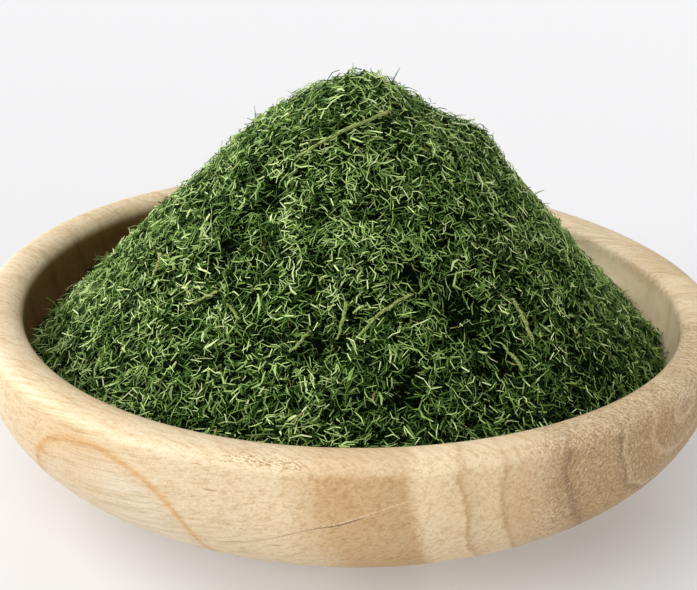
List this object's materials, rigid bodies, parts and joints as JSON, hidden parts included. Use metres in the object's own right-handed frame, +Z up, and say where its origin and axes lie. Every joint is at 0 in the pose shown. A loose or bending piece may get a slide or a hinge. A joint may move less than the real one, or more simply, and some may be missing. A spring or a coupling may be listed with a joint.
{
  "type": "bowl of dried dill weed",
  "caption": "Shallow turned wooden bowl heaped with chopped dried dill weed, with longer stem pieces lying on the heap.",
  "frame": {"origin": "middle of the bowl's flat base", "axes": "+Z up out of the bowl, +X to the right and -Y to the front as in the picture"},
  "size_m": [0.1604, 0.1598, 0.0899],
  "materials": {
    "wood": "satin pale turned wood with brown streaks",
    "dill_leaf": "matte dried leaf threads, deep green with yellow-green ones",
    "dill_stem": "matte dried stem, pale yellow-green"
  },
  "bodies": {
    "root": {"bowl": "wood", "dill_heap": "dill_leaf", "stem_piece_01": "dill_stem", "stem_piece_02": "dill_stem", "stem_piece_03": "dill_stem", "stem_piece_04": "dill_stem", "stem_piece_05": "dill_stem", "stem_piece_06": "dill_stem", "stem_piece_07": "dill_stem", "stem_piece_08": "dill_stem", "stem_piece_09": "dill_stem", "stem_piece_10": "dill_stem", "stem_piece_11": "dill_stem", "stem_piece_12": "dill_stem"}
  },
  "joints": []
}
